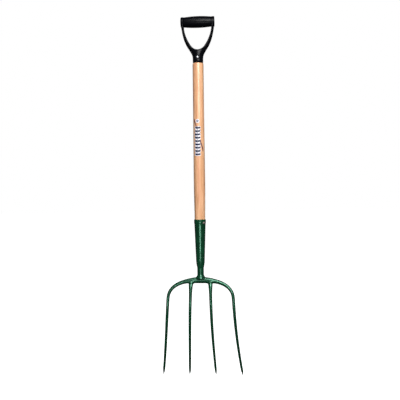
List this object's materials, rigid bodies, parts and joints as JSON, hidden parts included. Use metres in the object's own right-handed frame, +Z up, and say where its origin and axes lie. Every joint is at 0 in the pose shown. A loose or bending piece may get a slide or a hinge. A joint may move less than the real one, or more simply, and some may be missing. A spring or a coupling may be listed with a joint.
{
  "type": "four-tined garden fork",
  "caption": "Long-handled fork with four round curved tines on a forged bow, a tapered steel ferrule, an ash shaft and a D grip.",
  "frame": {"origin": "middle of the underside of the grip's crossbar, where the fork hangs on a hook or rests in a rack", "axes": "+Z up along the shaft towards the grip's top, +X across the four tines, +Y the way the tips curve"},
  "size_m": [0.2748, 0.0721, 1.2112],
  "materials": {
    "green_enamel": "gloss dark green stove enamel on forged and drawn steel",
    "ash_wood": "clear-lacquered ash, straight grain",
    "black_plastic": "satin moulded polypropylene",
    "rivet_steel": "bright zinc-plated steel",
    "decal_film": null
  },
  "bodies": {
    "root": {"forged_head": "green_enamel", "ferrule": "green_enamel", "ferrule_rivet": "rivet_steel", "wood_shaft": "ash_wood", "shaft_decal": "decal_film", "grip_yoke": "black_plastic", "grip_sleeve": "black_plastic", "grip_rod": "rivet_steel", "grip_cap_left": "black_plastic", "grip_cap_right": "black_plastic", "grip_rivet": "rivet_steel", "grip_rivet_washer": "rivet_steel"}
  },
  "joints": []
}
